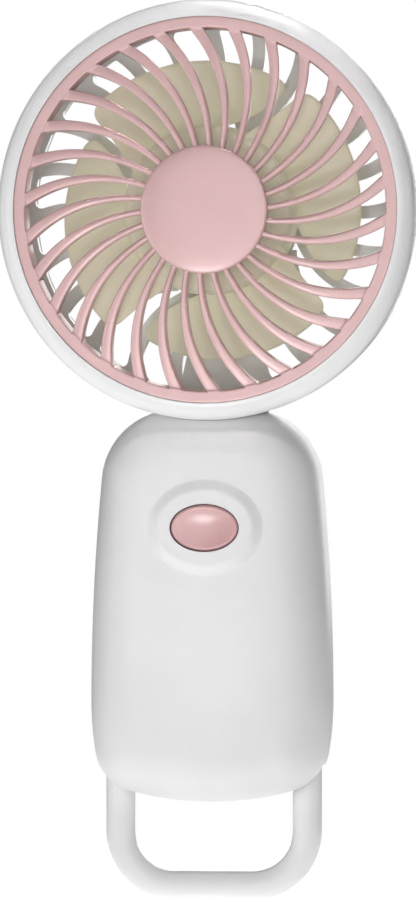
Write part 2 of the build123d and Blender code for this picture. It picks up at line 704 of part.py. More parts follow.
# ---------------------------------------------------------------- circuit board and its parts
with BuildPart() as circuit_board:
    block((-BOARD_HALF_W, BOARD_HALF_W), (BOARD_FRONT, BOARD_BACK), (BOARD_LOW, BOARD_HIGH))
    fillet(circuit_board.edges().filter_by(Axis.Y), radius=2)
    bars(BOARD_SCREWS, 1.0, BOARD_FRONT - 1, BOARD_BACK + 1, mode=Mode.SUBTRACT)
    circuit_board.part.label = "circuit_board"

with BuildPart() as control_chips:
    for x, z, width, height in ((-3, 2, 5, 6), (5, -8, 4, 4), (-6, -16, 4.5, 5)):
        across, up = (x - width / 2, x + width / 2), (z - height / 2, z + height / 2)
        block(across, (BOARD_BACK, BOARD_BACK + 1.2), up)
    control_chips.part.label = "control_chips"

with BuildPart() as charge_inductor:
    block((3, 9), (BOARD_BACK, BOARD_BACK + 2.6), (-21, -15))
    fillet(charge_inductor.edges().filter_by(Axis.Y), radius=1.2)
    charge_inductor.part.label = "charge_inductor"

with BuildPart() as wire_connectors:
    for x in (0, 7.5):
        block((x - 3, x + 3), (BOARD_BACK, BOARD_BACK + 2.8), (12.0, 16.0))
    wire_connectors.part.label = "wire_connectors"

with BuildPart() as usb_socket:
    with BuildSketch(Plane.XY.offset(USB_LOW)):
        with Locations((0, usb_y)):
            SlotOverall(USB_W, USB_H)
            offset(amount=-0.3, mode=Mode.SUBTRACT)
    extrude(amount=USB_L)
    with BuildSketch(Plane.XY.offset(USB_LOW + USB_L - 1)):
        with Locations((0, usb_y)):
            SlotOverall(USB_W, USB_H)
    extrude(amount=1)
    usb_socket.part.label = "usb_socket"

with BuildPart() as usb_tongue:
    block((-3.3, 3.3), (usb_y - 0.35, usb_y + 0.35), (USB_LOW + 0.8, USB_LOW + USB_L - 1))
    usb_tongue.part.label = "usb_tongue"

with BuildPart() as board_screws:
    bars(BOARD_SCREWS, 0.74, BOARD_FRONT - 3.3, BOARD_BACK)
    bars(BOARD_SCREWS, 1.6, BOARD_BACK, BOARD_BACK + 1.1)
    board_screws.part.label = "board_screws"


# ---------------------------------------------------------------- battery
CELL_TOP = CELL_Z + CELL[2] / 2

with BuildPart() as battery_cell:
    with Locations((0, CELL_Y, CELL_Z)):
        Box(*CELL)
    fillet(battery_cell.edges().filter_by(Axis.Z), radius=2.2)
    battery_cell.part.label = "battery_cell"

with BuildPart() as battery_board:
    block((-12, 12), (CELL_Y - 2.4, CELL_Y + 1.6), (CELL_TOP, CELL_TOP + 1.2))
    battery_board.part.label = "battery_board"

with BuildPart() as battery_pad:
    block((-12, 12), (CELL_Y + CELL[1] / 2, BACK_Y - WALL), (CELL_Z - 18, CELL_Z + 18))
    battery_pad.part.label = "battery_pad"


# ---------------------------------------------------------------- wires inside
def wire(route, bends, radius=0.5):
    """One round wire along a route with rounded bends."""
    with BuildPart() as lead:
        with BuildLine() as path:
            FilletPolyline(*route, radius=bends)
        start = path.line
        with BuildSketch(Plane(origin=start @ 0, z_dir=start % 0)):
            Circle(radius)
        sweep()
    return lead.part


with BuildPart() as motor_wires:
    for x in (-1.2, 0, 1.2):
        add(
            wire(
                [
                    (x, 5.2, HEAD_Z - 12.4),
                    (x, 9.12, HEAD_Z - 12.4),
                    (x, 9.12, 45.0),
                    (x, 3.2, 43.2),
                    (x, 3.2, 38.5),
                    (x, -3.2, 33.0),
                    (x, -3.2, 16.0),
                ],
                1.2,
            )
        )
    motor_wires.part.label = "motor_wires"

with BuildPart() as battery_wires:
    for x in (6.5, 8.5):
        add(
            wire(
                [
                    (x, CELL_Y - 1.4, CELL_TOP + 1.2),
                    (x, CELL_Y - 1.4, CELL_TOP + 3.0),
                    (x, -3.2, CELL_TOP + 1.0),
                    (x, -3.2, 16.0),
                ],
                1.1,
            )
        )
    battery_wires.part.label = "battery_wires"


# ---------------------------------------------------------------- stand loop
with BuildPart() as stand_loop:
    with BuildLine(Plane(origin=(0, SEAM_Y, 0), x_dir=(1, 0, 0), z_dir=(0, -1, 0))) as bail:
        FilletPolyline(
            (-LOOP_HALF_W, PIVOT_Z),
            (-LOOP_HALF_W, LOOP_FOOT),
            (LOOP_HALF_W, LOOP_FOOT),
            (LOOP_HALF_W, PIVOT_Z),
            radius=LOOP_CORNER,
        )
    with BuildSketch(Plane(origin=(-LOOP_HALF_W, SEAM_Y, PIVOT_Z), z_dir=(0, 0, -1))):
        Circle(LOOP_BAR / 2)
    sweep()
    for eye_side in (-LOOP_HALF_W, LOOP_HALF_W):
        with Locations(Location((eye_side, SEAM_Y, PIVOT_Z), (0, 90, 0))):
            Cylinder(EYE_R, LOOP_BAR - 0.1)
            Cylinder(PIN_R + RUN_GAP, LOOP_BAR + 1, mode=Mode.SUBTRACT)
    stand_loop.part.label = "stand_loop"

with BuildPart() as loop_pins:
    for pin_side in both_sides(SLOT_IN - CHEEK + 0.1, SLOT_OUT + 0.7):
        with Locations(Location(((pin_side[0] + pin_side[1]) / 2, SEAM_Y, PIVOT_Z), (0, 90, 0))):
            Cylinder(PIN_R - 0.01, pin_side[1] - pin_side[0])
    loop_pins.part.label = "loop_pins"

with BuildPart() as loop_washers:
    for washer_side in both_sides(SLOT_IN + 0.02, SLOT_IN + 0.52):
        with Locations(Location(((washer_side[0] + washer_side[1]) / 2, SEAM_Y, PIVOT_Z), (0, 90, 0))):
            Cylinder(2.7, 0.5)
            Cylinder(PIN_R + 0.02, 1, mode=Mode.SUBTRACT)
    loop_washers.part.label = "loop_washers"


# ---------------------------------------------------------------- files
PIECES = (
    front_ring, front_grille, grille_cap, rear_housing, rear_grille, impeller, rotor_yoke,
    magnet_ring, rotor_shaft, shaft_clip, motor_bearings, motor_base, motor_screws, stator_core,
    stator_coils, motor_board, motor_wires, front_shell, rear_shell, body_screws, button,
    switch_plunger, switch_body, circuit_board, control_chips, charge_inductor, wire_connectors,
    usb_socket, usb_tongue, board_screws, battery_cell, battery_board, battery_pad, battery_wires,
    stand_loop, loop_pins, loop_washers,
)

os.makedirs("parts", exist_ok=True)
for piece in PIECES:
    export_step(piece.part, f"parts/{piece.part.label}.step")
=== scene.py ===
"""Handheld electric fan: materials, detailed pieces, studio light, camera and floor.

Lengths are in mm until a mesh or a light is made. The fan blows towards -Y and its impeller turns about
an axis along Y at the height HEAD_Z.
"""
import bmesh
import bpy
import json
from math import atan2, cos, degrees, dist, hypot, pi, radians, sin, sqrt
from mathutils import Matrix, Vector


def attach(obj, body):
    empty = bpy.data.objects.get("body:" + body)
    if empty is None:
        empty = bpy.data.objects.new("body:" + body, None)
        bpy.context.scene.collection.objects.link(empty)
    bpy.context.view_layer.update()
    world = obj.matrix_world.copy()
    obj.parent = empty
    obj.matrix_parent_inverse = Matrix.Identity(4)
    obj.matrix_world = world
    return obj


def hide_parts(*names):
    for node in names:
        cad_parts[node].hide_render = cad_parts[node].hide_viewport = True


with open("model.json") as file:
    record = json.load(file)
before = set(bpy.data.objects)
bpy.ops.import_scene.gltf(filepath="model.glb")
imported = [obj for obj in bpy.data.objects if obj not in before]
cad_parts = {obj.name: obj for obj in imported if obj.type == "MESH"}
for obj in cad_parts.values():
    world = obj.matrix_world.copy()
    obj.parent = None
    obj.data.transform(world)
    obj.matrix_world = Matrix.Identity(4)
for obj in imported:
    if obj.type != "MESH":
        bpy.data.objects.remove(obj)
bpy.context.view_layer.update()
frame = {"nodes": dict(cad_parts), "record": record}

MM = 0.001
WELD = 0.002  # points of a mesh that are closer than this become one
RECORD = frame["record"]
SLOT_OF = {part["node"]: part["material_slot"] for part in RECORD["subparts"]}
BODIES = RECORD["behaviour"]["bodies"]
PIVOTS = {joint["name"]: joint["pos_m"] for joint in RECORD["behaviour"]["joints"] if "pos_m" in joint}
HEAD_Z = PIVOTS["fan_spin"][2] / MM
LOOP_Y, LOOP_Z = (place / MM for place in PIVOTS["loop_swing"][1:])


# ---------------------------------------------------------------- mesh helpers
def make_object(name, verts, faces, material, sharp=35):
    """A mesh object from points in mm, its double points joined and its normals made consistent."""
    mesh = bpy.data.meshes.new(name)
    mesh.from_pydata([(x * MM, y * MM, z * MM) for x, y, z in verts], [], faces)
    bm = bmesh.new()
    bm.from_mesh(mesh)
    bmesh.ops.remove_doubles(bm, verts=bm.verts, dist=WELD * MM)
    bmesh.ops.dissolve_degenerate(bm, edges=bm.edges, dist=WELD * MM / 4)
    bmesh.ops.recalc_face_normals(bm, faces=bm.faces)
    bm.to_mesh(mesh)
    bm.free()
    for face in mesh.polygons:
        face.use_smooth = True
    mesh.set_sharp_from_angle(angle=radians(sharp))
    mesh.materials.append(material)
    obj = bpy.data.objects.new(name, mesh)
    bpy.context.scene.collection.objects.link(obj)
    return obj


def stand_in(name, node, shape, sharp=35):
    """An object that rides with a CAD node's body and is shown instead of it, in the node's material."""
    obj = make_object(name, *shape, MATERIALS[SLOT_OF[node]], sharp)
    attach(obj, next(body for body, nodes in BODIES.items() if node in nodes))
    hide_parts(node)


def polar(radius, angle):
    """A point at an angle in degrees from the first axis."""
    return radius * cos(radians(angle)), radius * sin(radians(angle))


def arc(middle, radius, first, last, steps):
    """Points of an arc between two angles in degrees."""
    turns = [polar(radius, first + (last - first) * i / steps) for i in range(steps + 1)]
    return [(middle[0] + a, middle[1] + b) for a, b in turns]


def bend(start, corner, end, t):
    """A point of the curve that leaves start towards the corner and arrives at end from it."""
    return tuple((1 - t) ** 2 * p + 2 * t * (1 - t) * c + t * t * q for p, c, q in zip(start, corner, end))


def rounded(points, steps=5):
    """A closed outline from (a, b, radius) corners, each corner rounded by a short curve."""
    out = []
    for i, (a, b, radius) in enumerate(points):
        if not radius:
            out.append((a, b))
            continue
        ends = []
        for other in (points[i - 1], points[(i + 1) % len(points)]):
            da, db = other[0] - a, other[1] - b
            length = hypot(da, db)
            reach = min(radius, length * 0.49)
            ends.append((a + da / length * reach, b + db / length * reach))
        out += [bend(ends[0], (a, b), ends[1], step / steps) for step in range(steps + 1)]
    return out


def wound(outline, steps, place):
    """A closed outline of (radius, along) turned about an axis; place(along, a, b) puts a point in space."""
    verts, faces = [], []
    count = len(outline)
    for i in range(steps):
        turn = 2 * pi * i / steps
        verts += [place(along, radius * cos(turn), radius * sin(turn)) for radius, along in outline]
        j = (i + 1) % steps
        for k in range(count):
            n = (k + 1) % count
            on_axis = outline[k][0] < 1e-6 and outline[n][0] < 1e-6
            if not on_axis:
                faces.append((i * count + k, i * count + n, j * count + n, j * count + k))
    return verts, faces


def lathe(outline, steps=160):
    """A closed outline of (radius, y) turned about the impeller's axis."""
    return wound(outline, steps, lambda y, x, z: (x, y, HEAD_Z + z))


def merged(*shapes):
    """Several shapes as one list of verts and faces."""
    verts, faces = [], []
    for shape_verts, shape_faces in shapes:
        start = len(verts)
        verts += shape_verts
        faces += [tuple(i + start for i in face) for face in shape_faces]
    return verts, faces


def smooth_path(points, per_span=16):
    """Points along a smooth curve through the given points."""
    out = []
    ends = [points[0], *points, points[-1]]
    for i in range(1, len(ends) - 2):
        a, b, c, d = (Vector(p) for p in ends[i - 1:i + 3])
        for step in range(per_span):
            t = step / per_span
            second, third = 2 * a - 5 * b + 4 * c - d, 3 * b - a - 3 * c + d
            out.append(tuple(0.5 * (2 * b + (c - a) * t + second * t * t + third * t ** 3)))
    out.append(tuple(points[-1]))
    return out


def quadratic(knots, at, column):
    """A value at a radius, from the parabola through three knots."""
    total = 0
    for i, knot in enumerate(knots):
        part = knot[column]
        for j, other in enumerate(knots):
            if i != j:
                part *= (at - other[0]) / (knot[0] - other[0])
        total += part
    return total


def ease(value, low, high):
    """0 below low, 1 above high, smooth between."""
    t = min(1, max(0, (value - low) / (high - low)))
    return t * t * (3 - 2 * t)


# ---------------------------------------------------------------- materials
PINK = (0.655, 0.42, 0.418)
NOISE_SPAN = (0.3, 0.7)  # nearly all values of the noise lie in this span
SHELL_SWELL = (("X", 16.0, 0.30), ("Z", 32.0, 0.16))  # axis, distance from the middle, slope reached there


def shader(name):
    """A new material, its node tree and its main shader."""
    material = bpy.data.materials.new(name)
    material.use_nodes = True
    tree = material.node_tree
    return material, tree, tree.nodes["Principled BSDF"]


def noise(tree, scale, detail=3.0, rough=0.55):
    """Noise in the object's own coordinates; scale is features per metre."""
    place = tree.nodes.new("ShaderNodeTexCoord")
    node = tree.nodes.new("ShaderNodeTexNoise")
    node.inputs["Scale"].default_value = scale
    node.inputs["Detail"].default_value = detail
    node.inputs["Roughness"].default_value = rough
    tree.links.new(place.outputs["Object"], node.inputs["Vector"])
    return node.outputs["Fac"]


def remap(tree, value, low, high):
    """The value stretched from its usual span to run from low to high."""
    node = tree.nodes.new("ShaderNodeMapRange")
    node.inputs["From Min"].default_value, node.inputs["From Max"].default_value = NOISE_SPAN
    node.inputs["To Min"].default_value, node.inputs["To Max"].default_value = low, high
    tree.links.new(value, node.inputs["Value"])
    return node.outputs["Result"]


def tinted(tree, value, first, second):
    """A colour between two as the value goes from 0 to 1."""
    node = tree.nodes.new("ShaderNodeMix")
    node.data_type = "RGBA"
    node.inputs[6].default_value = (*first, 1)
    node.inputs[7].default_value = (*second, 1)
    tree.links.new(value, node.inputs[0])
    return node.outputs[2]


def clouded(tree, bsdf, value, colour, darker):
    """Gives the shader a colour that drifts to a darker share of itself as the noise rises."""
    dark = tuple(c * darker for c in colour)
    tree.links.new(tinted(tree, remap(tree, value, 0, 1), colour, dark), bsdf.inputs["Base Color"])


def bump(tree, bsdf, value, depth):
    """Fine relief of a depth in mm."""
    node = tree.nodes.new("ShaderNodeBump")
    node.inputs["Strength"].default_value = 1.0
    node.inputs["Distance"].default_value = depth * MM
    tree.links.new(value, node.inputs["Height"])
    tree.links.new(node.outputs["Normal"], bsdf.inputs["Normal"])


def reckon(tree, operation, first, second):
    """The result of an operation on two values, each of which is a node's output or a number."""
    node = tree.nodes.new("ShaderNodeMath")
    node.operation = operation
    for socket, value in zip(node.inputs, (first, second)):
        if isinstance(value, float):
            socket.default_value = value
        else:
            tree.links.new(value, socket)
    return node.outputs[0]


def mixed(tree, share, first, second):
    """A blend of two shaders' outputs, with a share of the second."""
    node = tree.nodes.new("ShaderNodeMixShader")
    node.inputs[0].default_value = share
    tree.links.new(first, node.inputs[1])
    tree.links.new(second, node.inputs[2])
    return node.outputs[0]


def moulded(name, colour, rough, grain=(9000, 0.0012), coat=0.0, swing=0.04, soft=0.0):
    """Moulded plastic: faint colour drift, uneven polish and a fine surface grain."""
    material, tree, bsdf = shader(name)
    clouded(tree, bsdf, noise(tree, 60, 2), colour, 1 - swing)
    fine = noise(tree, grain[0], 2)
    tree.links.new(remap(tree, fine, rough * 0.85, rough * 1.15), bsdf.inputs["Roughness"])
    bump(tree, bsdf, fine, grain[1])
    bsdf.inputs["IOR"].default_value = 1.46
    bsdf.inputs["Coat Weight"].default_value = coat
    bsdf.inputs["Coat Roughness"].default_value = 0.2
    if soft:
        bsdf.inputs["Subsurface Weight"].default_value = soft
        bsdf.inputs["Subsurface Radius"].default_value = (1.0, 0.8, 0.7)
        bsdf.inputs["Subsurface Scale"].default_value = 0.8 * MM
    return material


def swollen_white(name, colour, rough):
    """White plastic of the handle, shaded as if its broad faces swelled gently from edge to middle."""
    material = moulded(name, colour, rough, coat=0.05, soft=0.06)
    tree = material.node_tree
    place = tree.nodes.new("ShaderNodeTexCoord")
    apart = tree.nodes.new("ShaderNodeSeparateXYZ")
    tree.links.new(place.outputs["Object"], apart.inputs[0])
    falls = []
    for axis, reach, slope in SHELL_SWELL:
        share = reckon(tree, "MULTIPLY", apart.outputs[axis], 1 / (reach * MM))
        square = reckon(tree, "MULTIPLY", share, share)
        falls.append(reckon(tree, "MULTIPLY", square, -slope * reach / 2))
    grain = next(node for node in tree.nodes if node.bl_idname == "ShaderNodeBump")
    swell = tree.nodes.new("ShaderNodeBump")
    swell.inputs["Distance"].default_value = MM
    tree.links.new(reckon(tree, "ADD", *falls), swell.inputs["Height"])
    tree.links.new(swell.outputs["Normal"], grain.inputs["Normal"])
    return material


def metal(name, colour, rough, grain=(4000, 0.001), metallic=1.0):
    """Bare metal with uneven polish and a fine grain."""
    material, tree, bsdf = shader(name)
    clouded(tree, bsdf, noise(tree, 900, 4), colour, 0.86)
    tree.links.new(remap(tree, noise(tree, 2500, 3), rough * 0.8, rough * 1.25), bsdf.inputs["Roughness"])
    bump(tree, bsdf, noise(tree, grain[0]), grain[1])
    bsdf.inputs["Metallic"].default_value = metallic
    return material


def satin_pink():
    """Pearl-like satin plastic with fine sparkle."""
    material, tree, bsdf = shader("pink_satin")
    clouded(tree, bsdf, noise(tree, 90, 2), PINK, 0.95)
    fine = noise(tree, 5200, 3, 0.7)
    tree.links.new(remap(tree, fine, 0.30, 0.46), bsdf.inputs["Roughness"])
    bump(tree, bsdf, fine, 0.014)
    bsdf.inputs["Metallic"].default_value = 0.2
    bsdf.inputs["IOR"].default_value = 1.5
    bsdf.inputs["Coat Weight"].default_value = 0.6
    bsdf.inputs["Coat Roughness"].default_value = 0.2
    return material


def cream_with_painted_glow():
    """Milky plastic that lets some light through, with a faint painted glow that stands in for the light
    passing through it.
    """
    material = moulded("cream_plastic", (0.87, 0.82, 0.67), 0.38, grain=(7000, 0.002))
    tree, bsdf = material.node_tree, material.node_tree.nodes["Principled BSDF"]
    # painted glow: a faint emission brightens the blades as if light shone through them, though they are no
    # lamp
    bsdf.inputs["Emission Color"].default_value = (0.94, 0.98, 0.86, 1)
    bsdf.inputs["Emission Strength"].default_value = 0.13
    through = tree.nodes.new("ShaderNodeBsdfTranslucent")
    through.inputs["Color"].default_value = (0.90, 0.86, 0.70, 1)
    clear = tree.nodes.new("ShaderNodeBsdfTransparent")
    milky = mixed(tree, 0.35, bsdf.outputs[0], through.outputs[0])
    output = next(node for node in tree.nodes if node.bl_idname == "ShaderNodeOutputMaterial")
    tree.links.new(mixed(tree, 0.09, milky, clear.outputs[0]), output.inputs["Surface"])
    return material


def fabric_foam(name, colour):
    """Dull foam with fine pores, their hollows painted darker as shade."""
    material, tree, bsdf = shader(name)
    pores = noise(tree, 2200, 4, 0.7)
    # painted shade: the colour darkens where the pore relief sinks in
    tree.links.new(tinted(tree, pores, tuple(c * 0.6 for c in colour), colour), bsdf.inputs["Base Color"])
    bump(tree, bsdf, pores, 0.08)
    bsdf.inputs["Roughness"].default_value = 0.95
    return material


MATERIALS = {
    "pink_satin": satin_pink(),
    "pink_gloss": moulded("pink_gloss", (0.65, 0.375, 0.375), 0.26, grain=(6000, 0.003), coat=0.6),
    "white_gloss": moulded("white_gloss", (0.835, 0.835, 0.835), 0.30, coat=0.15, soft=0.06),
    "cream_plastic": cream_with_painted_glow(),
    "black_plastic": moulded("black_plastic", (0.02, 0.02, 0.022), 0.45, grain=(6000, 0.004), swing=0.2),
    "steel": metal("steel", (0.62, 0.62, 0.63), 0.26),
    "stator_steel": metal("stator_steel", (0.42, 0.43, 0.45), 0.42, grain=(9000, 0.004)),
    "copper": metal("copper", (0.72, 0.33, 0.16), 0.28, grain=(7000, 0.012)),
    "magnet": metal("magnet", (0.16, 0.16, 0.17), 0.5, metallic=0.7),
    "board_green": moulded(
        "board_green", (0.02, 0.16, 0.06), 0.32, grain=(3500, 0.006), coat=0.4, swing=0.25),
    "battery_wrap": moulded("battery_wrap", (0.55, 0.57, 0.60), 0.34, grain=(1800, 0.02), coat=0.3),
    "foam": fabric_foam("foam", (0.08, 0.08, 0.085)),
    "wire_jacket": moulded("wire_jacket", (0.76, 0.76, 0.76), 0.45, grain=(5000, 0.004)),
    "pale_washer": moulded("pale_washer", (0.70, 0.70, 0.68), 0.45, grain=(5000, 0.004)),
    "bearing_bronze": metal("bearing_bronze", (0.55, 0.37, 0.16), 0.42, grain=(9000, 0.006)),
}
SHELL_WHITE = swollen_white("white_shell", (0.845, 0.845, 0.845), 0.40)
for node, obj in frame["nodes"].items():
    obj.data.materials.clear()
    shell = node in ("front_shell", "rear_shell")
    obj.data.materials.append(SHELL_WHITE if shell else MATERIALS[SLOT_OF[node]])


# ---------------------------------------------------------------- bezel and cap
def build_front_ring():
    """White bezel: a round nose, a seat for the grille inside and a spigot for the rear housing behind."""
    outer_r, front_y, nose_r = 45.0, -12.8, 3.6
    side_y, seam_r, seam_y = -7.2, 44.82, -5.02
    spigot_r, spigot_in_r, spigot_y = 43.9, 42.9, -3.42
    seat_r, seat_in_r, seat_y, seat_back_y = 41.33, 39.9, -8.65, -7.1
    nose = arc((outer_r - nose_r, front_y + nose_r), nose_r, -90, 0, 20)
    behind = rounded([
        (outer_r, side_y, 0.6), (seam_r, seam_y, 0.18), (spigot_r, seam_y, 0.05), (spigot_r, spigot_y, 0.25),
        (spigot_in_r, spigot_y, 0.25), (spigot_in_r, seat_back_y, 0.1), (seat_in_r, seat_back_y, 0.1),
        (seat_in_r, seat_y, 0.05), (seat_r, seat_y, 0), (seat_r, front_y + 0.1, 0),
    ])
    lip = [(outer_r - nose_r, front_y + 0.01)]
    stand_in("bezel_ring", "front_ring", lathe(nose[1:] + behind + lip, 256))


def build_cap():
    """Faintly crowned disc with a rolled rim and a spigot that fits the grille's hub."""
    crown_r, crown_y, steps = 13.2, -14.9, 24
    shares = [i / steps for i in range(steps + 1)]
    crown = [(crown_r * s, crown_y + 0.18 * s ** 2 + 0.27 * s ** 6) for s in shares]
    rim = [(13.42, -14.40), (13.57, -14.29), (13.66, -14.14), (13.70, -13.97), (13.70, -13.86)]
    spigot = [(13.3, -13.84), (12.4, -13.8), (12.4, -12.95), (12.1, -12.9), (0, -12.9)]
    stand_in("hub_cap", "grille_cap", lathe(crown + rim + spigot), sharp=50)


# ---------------------------------------------------------------- front grille
RIBS = 30
RIB_PHASE = 1.9  # angle from which the ribs are counted, in degrees
RIB_CURVE = ((12.6, -0.4, 1.2), (26.0, 7.4, 1.8), (40.0, 20.1, 3.0))  # radius, angle, width
RIB_DEPTH = 2.2
HOLE_R, HUB_R, RIM_R, GRILLE_R = 11.0, 13.6, 38.9, 41.3
RIM_FRONT, RIM_BACK = -12.5, -8.7
RIM_DRAFT = 0.45  # the rim's inside narrows by this towards the back
SLOT_EDGE, OUTER_EDGE = 0.26, 0.208  # roundings in front
DOME_FROM, DOME_TO = 12.2, 40.3  # radii between which the ribs' front falls back
DOME_FRONT, DOME_FALL, DOME_BULGE = -13.7, 1.5, 0.35
ACROSS_RIB = (0, 0.3, 0.55, 0.72, 0.83, 0.91, 0.965, 1)  # columns of points, from a rib's middle to its edge
NEAR_EDGE = (0, 0.05, 0.12, 0.22, 0.36, 0.6)  # rows of points beside the ends of a slot
RIB_ROWS, GAP_STEPS = 30, 12


def edge_distance(point, loop):
    """Distance in the plane from a point to a closed loop."""
    best = float("inf")
    for i, (ax, az) in enumerate(loop):
        bx, bz = loop[i - 1]
        dx, dz = bx - ax, bz - az
        span = dx * dx + dz * dz
        t = 0 if span < 1e-12 else min(1, max(0, ((point[0] - ax) * dx + (point[1] - az) * dz) / span))
        best = min(best, hypot(point[0] - ax - t * dx, point[1] - az - t * dz))
    return best


def round_off(distance, radius):
    """How far a rounded edge falls back at a distance from it."""
    near = max(0, radius - distance)
    return radius - sqrt(max(0, radius ** 2 - near ** 2))


def sector_angles(r):
    """Angles across a sector at a radius, as three lists: half a rib, the gap, half of the next rib."""
    middle, half = quadratic(RIB_CURVE, r, 1), degrees(quadratic(RIB_CURVE, r, 2) / 2 / r)
    left = [middle + half * s for s in ACROSS_RIB]
    right = [middle + 360 / RIBS - half * s for s in reversed(ACROSS_RIB)]
    gap = [left[-1] + (right[0] - left[-1]) * i / GAP_STEPS for i in range(1, GAP_STEPS)]
    return left, gap, right


def slot_outline(radii):
    """The slot between two ribs as a closed loop of points."""
    loop = [(r, sector_angles(r)[0][-1]) for r in radii]
    loop += [(RIM_R, a) for a in sector_angles(RIM_R)[1]]
    loop += [(r, sector_angles(r)[2][0]) for r in reversed(radii)]
    loop += [(HUB_R, a) for a in reversed(sector_angles(HUB_R)[1])]
    return [polar(r, a) for r, a in loop]


def dome(r):
    """Depth of the grille's face at a radius: a shallow dome, then the rim's own face."""
    t = (r - DOME_FROM) / (DOME_TO - DOME_FROM)
    low = DOME_FRONT + DOME_FALL * t - 4 * DOME_BULGE * t * (1 - t)
    on_rim = ease(r, RIM_R - 0.45, RIM_R)
    return low * (1 - on_rim) + RIM_FRONT * on_rim


def grille_front(r, angle, slot):
    """Depth of the front at a point, with its edges rounded and its ribs crowned."""
    distance = edge_distance(polar(r, angle), slot)
    half_rib = quadratic(RIB_CURVE, min(max(r, HUB_R), RIM_R), 2) / 2
    on_rib = ease(r, HUB_R - 0.5, HUB_R + 1) * (1 - ease(r, RIM_R - 0.5, RIM_R + 0.1))
    crown = (0.26 - 0.17 * ease(r, 18, 34)) * (1 - min(1, distance / half_rib)) ** 1.6
    return dome(r) + round_off(distance, SLOT_EDGE) + round_off(GRILLE_R - r, OUTER_EDGE) + on_rib * crown


def grille_back(r):
    """Radius and depth of the point at the back that belongs to one at the front."""
    on_rim = ease(r, RIM_R - 0.6, RIM_R - 0.1)
    depth = (dome(min(r, RIM_R - 0.5)) + RIB_DEPTH) * (1 - on_rim) + RIM_BACK * on_rim
    share = ease(r, HUB_R, RIM_R) if r <= RIM_R else (GRILLE_R - r) / (GRILLE_R - RIM_R)
    return r - RIM_DRAFT * share, depth


def grille_sector():
    """The grille from one rib's middle to the next one's: points as (radius, angle, y), and faces."""
    radii = [HUB_R + d for d in NEAR_EDGE]
    radii += [HUB_R + 1 + (RIM_R - HUB_R - 2.2) * i / RIB_ROWS for i in range(RIB_ROWS + 1)]
    radii += [RIM_R - d for d in reversed(NEAR_EDGE)]
    rim = [RIM_R + d for d in NEAR_EDGE[1:]]
    rim += [RIM_R + (GRILLE_R - RIM_R) * share for share in (0.45, 0.75, 0.9, 0.96, 1)]
    hub = [HUB_R - d for d in NEAR_EDGE[1:]] + [(HUB_R - NEAR_EDGE[-1] + HOLE_R) / 2, HOLE_R, 0]
    slot = slot_outline(radii)
    sides = len(ACROSS_RIB)
    full = sides * 2 + GAP_STEPS - 1
    verts, faces = [], []

    def row(r, angles):
        """Adds the front and back points at a radius and returns their first index."""
        start = len(verts)
        back_r, back_y = grille_back(r)
        verts.extend((r, a, grille_front(r, a, slot)) for a in angles)
        verts.extend((back_r, a, back_y) for a in angles)
        return start

    def strip(one, two, low, high):
        """Front and back faces between two rows, from one column to another."""
        for i in range(low, high):
            faces.append((one + i, one + i + 1, two + i + 1, two + i))
            faces.append((one + full + i, two + full + i, two + full + i + 1, one + full + i + 1))

    def wall(start, low, high):
        """Faces from front to back along a row."""
        for i in range(low, high):
            faces.append((start + i, start + i + 1, start + full + i + 1, start + full + i))

    rows = [row(r, [a for part in sector_angles(r) for a in part]) for r in radii]
    for one, two in zip(rows, rows[1:]):
        strip(one, two, 0, sides - 1)
        strip(one, two, full - sides, full - 1)
        for column in (sides - 1, full - sides):
            faces.append((one + column, two + column, two + full + column, one + full + column))
    for end_r, end, more in ((RIM_R, rows[-1], rim), (HUB_R, rows[0], hub)):
        angles = [a for part in sector_angles(end_r) for a in part]
        wall(end, sides - 1, full - sides)
        for r in more:
            after = row(r, angles)
            strip(end, after, 0, full - 1)
            end = after
        if more is rim:
            wall(end, 0, full - 1)
    used = sorted({i for face in faces for i in face})
    renumber = {old: new for new, old in enumerate(used)}
    return [verts[i] for i in used], [tuple(renumber[i] for i in face) for face in faces]


def build_front_grille():
    """Pink ring, hub plate and curved ribs, made of one sector turned into every place."""
    points, faces = grille_sector()
    sectors = []
    for number in range(RIBS):
        turn = RIB_PHASE + number * 360 / RIBS
        flat = [(*polar(r, a + turn), y) for r, a, y in points]
        sectors.append(([(x, y, HEAD_Z + z) for x, z, y in flat], faces))
    stand_in("front_grille_ribs", "front_grille", merged(*sectors), sharp=45)


# ---------------------------------------------------------------- impeller
BLADES, FIRST_BLADE = 4, 98  # the angle of the first blade, in degrees
ROOT_R = 17.2
REAR_EDGE = ((ROOT_R, -9), (21.1, -28.5), (25.5, -36), (31.4, -39.5))  # radius and angle
FRONT_EDGE = ((33.2, 43), (28.7, 44.5), (24.5, 47), (ROOT_R, 57))
TIP_R = 32.3  # of the middle of the tip
REAR_CORNER, FRONT_CORNER = 3.0, 2.9
BLADE_MID_Y, BLADE_TWIST = -0.5, 0.1279  # the blade moves forward by the twist, in mm for each degree
BLADE_HALF_T = 0.65
BLADE_COLUMNS, BLADE_ROWS, TIP_STEPS = 150, 15, 60
BLADE_RIMS = (0, 0.03, 0.1, 0.22, 0.4, BLADE_HALF_T)  # rows of points beside the rounded edge


def soft_join(one, two, reach):
    """Two chains of points joined with a rounded corner."""
    corner = one[-1]
    first = [p for p in one if dist(p, corner) >= reach]
    second = [p for p in two if dist(p, corner) >= reach]
    return first + [bend(first[-1], corner, second[0], i / 10) for i in range(1, 10)] + second


def blade_outer_edge():
    """The free edge of a blade as (x, z) about the axis, its middle towards +X."""
    rear = smooth_path([polar(*p) for p in REAR_EDGE])
    front = smooth_path([polar(*p) for p in FRONT_EDGE])
    (rear_r, rear_a), (front_r, front_a) = REAR_EDGE[-1], FRONT_EDGE[0]
    tip = []
    for i in range(TIP_STEPS + 1):
        t = i / TIP_STEPS
        radius = rear_r * (1 - t) * (1 - 2 * t) + TIP_R * 4 * t * (1 - t) + front_r * t * (2 * t - 1)
        tip.append(polar(radius, rear_a + (front_a - rear_a) * t))
    return soft_join(soft_join(rear, tip, REAR_CORNER), front, FRONT_CORNER)


